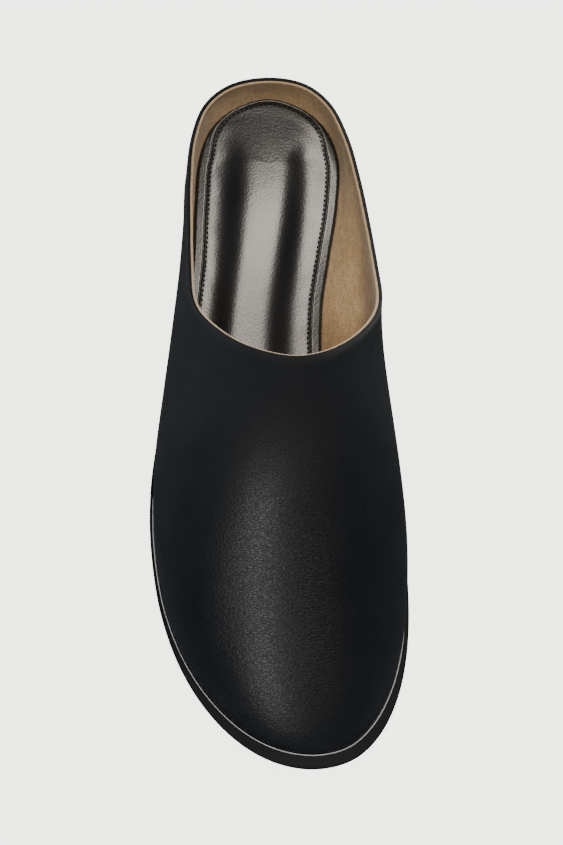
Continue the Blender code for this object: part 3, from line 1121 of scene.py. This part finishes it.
    def dress(self) -> None:
        """Make the pad and its stitches with their finishes."""
        pad = self.build_pad()
        finish_piece(pad, SockLeather().build(), "sock_leather", "insole")
        thread = WaxedThread().build()
        finish_piece(self.build_stitches(thread), thread, "sock_leather")


def stitch_tree(thread: Material) -> NodeTree:
    """Node tree that lays short threads along a curve.

    Args:
        thread: finish of the stitches.

    Returns:
        The tree, with inputs Pitch, Length and Width.
    """
    tree = bpy.data.node_groups.new("stitch_row", "GeometryNodeTree")
    face = tree.interface
    face.new_socket("Geometry", in_out="INPUT", socket_type="NodeSocketGeometry")
    for name in ("Pitch", "Length", "Width"):
        face.new_socket(name, in_out="INPUT", socket_type="NodeSocketFloat")
    face.new_socket("Geometry", in_out="OUTPUT", socket_type="NodeSocketGeometry")

    def add(kind: str, links: dict, **settings: str) -> Node:
        """Add a node.

        Args:
            kind: node type.
            links: values or sockets to link, by input name.
            settings: node properties.

        Returns:
            The node.
        """
        made = tree.nodes.new(kind)
        for key, value in settings.items():
            setattr(made, key, value)
        for key, value in links.items():
            if isinstance(value, NodeSocket):
                tree.links.new(value, made.inputs[key])
            else:
                made.inputs[key].default_value = value
        return made

    entry = tree.nodes.new("NodeGroupInput")
    path = {"Curve": entry.outputs["Geometry"], "Length": entry.outputs["Pitch"]}
    row = add("GeometryNodeResampleCurve", path, mode="LENGTH")
    bead = add("GeometryNodeMeshUVSphere", {"Segments": 8, "Rings": 6, "Radius": 0.5})
    tangent = tree.nodes.new("GeometryNodeInputTangent").outputs[0]
    turn = add("FunctionNodeAlignRotationToVector", {"Vector": tangent}, axis="Z")
    size = add("ShaderNodeCombineXYZ", {
        "X": entry.outputs["Width"], "Y": entry.outputs["Width"], "Z": entry.outputs["Length"],
    })
    laid = add("GeometryNodeInstanceOnPoints", {
        "Points": row.outputs["Curve"], "Instance": bead.outputs["Mesh"],
        "Rotation": turn.outputs["Rotation"], "Scale": size.outputs["Vector"],
    })
    real = add("GeometryNodeRealizeInstances", {"Geometry": laid.outputs["Instances"]})
    done = add("GeometryNodeSetMaterial", {"Geometry": real.outputs["Geometry"], "Material": thread})
    add("NodeGroupOutput", {"Geometry": done.outputs["Geometry"]})
    return tree


@dataclass
class Sole:
    """Sole plate with its ledge, and the fine bead where the upper meets it."""

    form: ShoeForm
    half: int = 150
    ledge_depth: float = 0.0007
    ledge_height: float = 0.0012
    spine_inset: float = 0.024
    bead: float = 0.00022
    bead_gap: float = 0.00025
    bead_sides: int = 8

    def build_plate(self) -> Object:
        """The plate, rounded at every edge."""
        form = self.form
        loop = form.sole_loop(self.half, form.sole_margin, form.toe_margin, form.heel_margin)
        normal = loop_normals(loop)
        spine = middle_line(loop, self.spine_inset)
        depth, ledge = self.ledge_depth, self.ledge_height
        section = [
            # out, down
            (-0.0008, 0.0), (-0.0003, 0.00004), (-0.0001, 0.00014), (0.0, 0.0004), (0.0, 0.0008),
            (-0.0001, 0.0011), (-0.0004, ledge), (-depth, ledge + 0.0001), (-depth, ledge + 0.0004),
            (-depth, 0.0030), (-depth - 0.0001, 0.0036), (-depth - 0.0004, 0.0040),
            (-depth - 0.0009, form.sole_thickness),
        ]
        sides = [form.over_bed(loop + normal * out, -down) for out, down in section]
        shares = np.linspace(0.0, 1.0, 9)[:-1]
        top, foot = loop + normal * section[0][0], loop + normal * section[-1][0]
        above = [form.over_bed(spine + (top - spine) * share, 0.0) for share in shares]
        thick = form.sole_thickness
        below = [form.over_bed(spine + (foot - spine) * share, -thick) for share in shares[::-1]]
        return ring_mesh("sole_plate", [*above, *sides, *below])

    def build_bead(self) -> Object:
        """Fine bead lying in the corner between upper and sole."""
        form = self.form
        loop = form.sole_loop(self.half, self.bead + self.bead_gap)
        normal = loop_normals(loop)
        rings = []
        for turn in np.linspace(0.0, 2.0 * math.pi, self.bead_sides + 1)[:-1]:
            plan = loop + normal * math.cos(turn) * self.bead
            high = form.bed(loop[:, 0]) + self.bead * (1.0 + math.sin(turn))
            rings.append(form.place(plan[:, 0], plan[:, 1], high))
        return ring_mesh("junction_bead", rings, close=True)

    def dress(self) -> None:
        """Make the pieces with their finishes."""
        finish_piece(self.build_plate(), SoleEdge().build(), "sole", "outsole")
        finish_piece(self.build_bead(), JunctionHighlightBead().build(), "sole")


@dataclass
class Heel:
    """Low heel block and its wearing piece."""

    form: ShoeForm
    front_share: float = 0.765
    back_spread: float = 0.0085
    side_spread: float = 0.0010
    lift: float = 0.0030
    seat_inset: float = 0.0014
    front_hollow: float = 0.0035
    side_rate: float = 3.0
    spans: int = 60
    front_points: int = 20
    levels: int = 17

    def loop(self, spread: float, inward: float = 0.0) -> Array:
        """Plan loop of the heel.

        Args:
            spread: share of the full spread, 0 to 1.
            inward: distance in all round.

        Returns:
            Loop of (back, across) points, the front face last.
        """
        form = self.form
        full = form.sole_loop(320, form.sole_margin - self.seat_inset - inward, 0.0, form.heel_margin)
        front = self.front_share * form.last_length + inward
        half = len(full) // 2
        sides = []
        for line in (full[:half + 1], np.vstack([full[half:], full[:1]])[::-1]):
            keep = line[line[:, 0] > front]
            first = np.array([front, np.interp(front, line[:, 0], line[:, 1])])
            sides.append(even_points(np.vstack([first, keep]), np.linspace(0.0, 1.0, self.spans + 1)))
        inner, outer = sides[0][0, 1], sides[1][0, 1]
        t = np.linspace(0.0, 1.0, self.front_points + 2)[1:-1]
        bow = self.front_hollow * 4.0 * t * (1.0 - t)
        face = np.stack([front + bow, outer + (inner - outer) * t], axis=1)
        loop = np.vstack([sides[0], sides[1][-2::-1], face])
        share = np.clip((loop[:, 0] - front) / (form.last_length - front), 0.0, 1.0)
        loop[:, 0] += self.back_spread * spread * share ** 2
        out = np.clip(share * self.side_rate, 0.0, 1.0) * (1.0 - share ** 4)
        loop[:, 1] += np.sign(loop[:, 1] - 0.5 * (inner + outer)) * self.side_spread * spread * out
        return loop

    def stack(self, name: str, levels: list[tuple[Array, Array]]) -> Object:
        """Closed block through plan loops, capped by shrinking rings.

        Args:
            name: object name.
            levels: each loop and the heights of its points.

        Returns:
            The new object.
        """
        caps = []
        for loop, high in (levels[0], levels[-1]):
            centre = loop.mean(axis=0)
            plans = [centre + (loop - centre) * share for share in (0.0, 0.4, 0.8)]
            cap = [self.form.place(plan[:, 0], plan[:, 1], high) for plan in plans]
            cap[0] = np.repeat(cap[0].mean(axis=0)[None], len(loop), axis=0)
            caps.append(cap)
        walls = [self.form.place(loop[:, 0], loop[:, 1], high) for loop, high in levels]
        return ring_mesh(name, [*caps[0], *walls, *caps[1][::-1]])

    def build_block(self) -> Object:
        """The heel block."""
        form = self.form
        top = self.loop(0.0)
        seat = form.bed(top[:, 0]) - form.sole_thickness - form.gap
        low = self.lift + form.gap
        shares = np.linspace(0.0, 1.0, self.levels)
        levels = [(self.loop(0.0, 0.0006), seat)]
        for share, out in zip(shares, smooth_table(HEEL_PROFILE, 1, shares)):
            levels.append((self.loop(float(out)), seat + (low - seat) * share))
        levels[1] = (levels[1][0], levels[1][1] - 0.0004)
        levels[-1] = (levels[-1][0], levels[-1][1] + 0.0003)
        levels.append((self.loop(1.0, 0.0005), np.full(len(top), low)))
        return self.stack("heel_block", levels)

    def build_lift(self) -> Object:
        """The wearing piece under the block."""
        outline = [
            # in, up
            (0.0005, self.lift),
            (0.0, self.lift - 0.0004),
            (0.0, 0.0008),
            (0.0002, 0.0003),
            (0.0007, 0.0),
        ]
        loops = [(self.loop(1.0, inward), up) for inward, up in outline]
        levels = [(loop, np.full(len(loop), up)) for loop, up in loops]
        return self.stack("heel_top_piece_dressed", levels)

    def dress(self) -> None:
        """Make the pieces with their finishes."""
        finish_piece(self.build_block(), HeelCover().build(), "heel", "heel")
        finish_piece(self.build_lift(), TopPieceRubber().build(), "top_piece", "heel_top_piece")


def direction(elevation: float, azimuth: float) -> Vector:
    """Unit vector at an elevation and azimuth in degrees; 0 is the toe side, 90 the inner side."""
    up, round_ = math.radians(elevation), math.radians(azimuth)
    return Vector((math.sin(round_) * math.cos(up), -math.cos(round_) * math.cos(up), math.sin(up)))


@dataclass
class Studio:
    """Pale floor, soft lights and the photograph's view of the shoe."""

    elevation: float = 69.24
    azimuth: float = -16.4
    roll: float = 14.6
    distance: float = 1.714
    lens_pixels: float = 4950.0
    aim: tuple[float, float, float] = (0.0015, -0.006, 0.02)
    picture_width: int = 563
    sensor_width: float = 36.0
    floor_reach: float = 6.0
    floor_height: float = -0.0004
    air: float = 0.06

    def add_floor(self) -> None:
        """Floor sheet, well beyond the view."""
        mesh = bpy.data.meshes.new("floor_sheet")
        r, z = self.floor_reach, self.floor_height
        mesh.from_pydata([(-r, -r, z), (r, -r, z), (r, r, z), (-r, r, z)], [], [(0, 1, 2, 3)])
        mesh.materials.append(PaleFloor().build())
        floor = put("floor_sheet", mesh)
        floor.visible_glossy = False

    @staticmethod
    def add_light(name: str, place: tuple, size: tuple, radiance: float, tint: tuple) -> None:
        """Rectangular soft light aimed at the shoe.

        Args:
            name: light name.
            place: elevation, azimuth and distance.
            size: width and height in metres.
            radiance: brightness of its face.
            tint: colour.
        """
        light = bpy.data.lights.new(name, "AREA")
        light.shape = "RECTANGLE"
        light.size, light.size_y = size
        light.energy = radiance * math.pi * size[0] * size[1]
        light.color = tint
        obj = put(name, light)
        way = direction(*place[:2])
        obj.location = way * place[2]
        obj.rotation_euler = way.to_track_quat("Z", "Y").to_euler()

    def add_camera(self) -> None:
        """Camera at the photograph's angle to the shoe, turned upright."""
        way = direction(self.elevation, self.azimuth)
        data = bpy.data.cameras.new("view")
        data.sensor_fit = "HORIZONTAL"
        data.sensor_width = self.sensor_width
        data.lens = self.lens_pixels * self.sensor_width / self.picture_width
        data.clip_end = 30.0
        obj = put("view", data)
        roll = Matrix.Rotation(math.radians(self.roll), 4, "Z")
        turn = way.to_track_quat("Z", "Y").to_matrix().to_4x4() @ roll
        obj.matrix_world = Matrix.Translation(Vector(self.aim) + way * self.distance) @ turn
        bpy.context.scene.camera = obj

    def build(self) -> None:
        """Set up floor, world, lights and camera."""
        world = bpy.data.worlds.new("studio_air")
        world.use_nodes = True
        air = world.node_tree.nodes["Background"]
        air.inputs["Color"].default_value = (0.95, 0.97, 1.0, 1.0)
        air.inputs["Strength"].default_value = self.air
        bpy.context.scene.world = world
        self.add_floor()
        self.add_light("overhead", (74.5, 156.0, 2.2), (0.62, 1.10), 14.0, (1.0, 0.91, 0.81))
        self.add_light("front", (55.0, -40.0, 2.4), (0.84, 0.62), 10.4, (1.0, 0.97, 0.93))
        self.add_camera()


def centre_shift(form: ShoeForm) -> tuple[float, float]:
    """Shift that lays the drawn sole over the CAD sole.

    Args:
        form: the shoe, not shifted yet.

    Returns:
        Distances across and back.
    """
    low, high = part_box("outsole")
    loop = form.sole_loop(40, form.sole_margin, form.toe_margin, form.heel_margin)
    back, across = (loop.min(axis=0) + loop.max(axis=0)) / 2.0
    return (float((low[0] + high[0]) / 2.0 - across), float((low[1] + high[1]) / 2.0 - back))


def main() -> None:
    """Build and dress the shoe, then the studio."""
    logging.basicConfig(level=logging.INFO, format="%(message)s")
    form = ShoeForm()
    form.shift = centre_shift(form)
    for part in (Upper(form), PaddedSock(form), Sole(form), Heel(form)):
        part.dress()
    Studio().build()


if __name__ == "__main__":
    main()
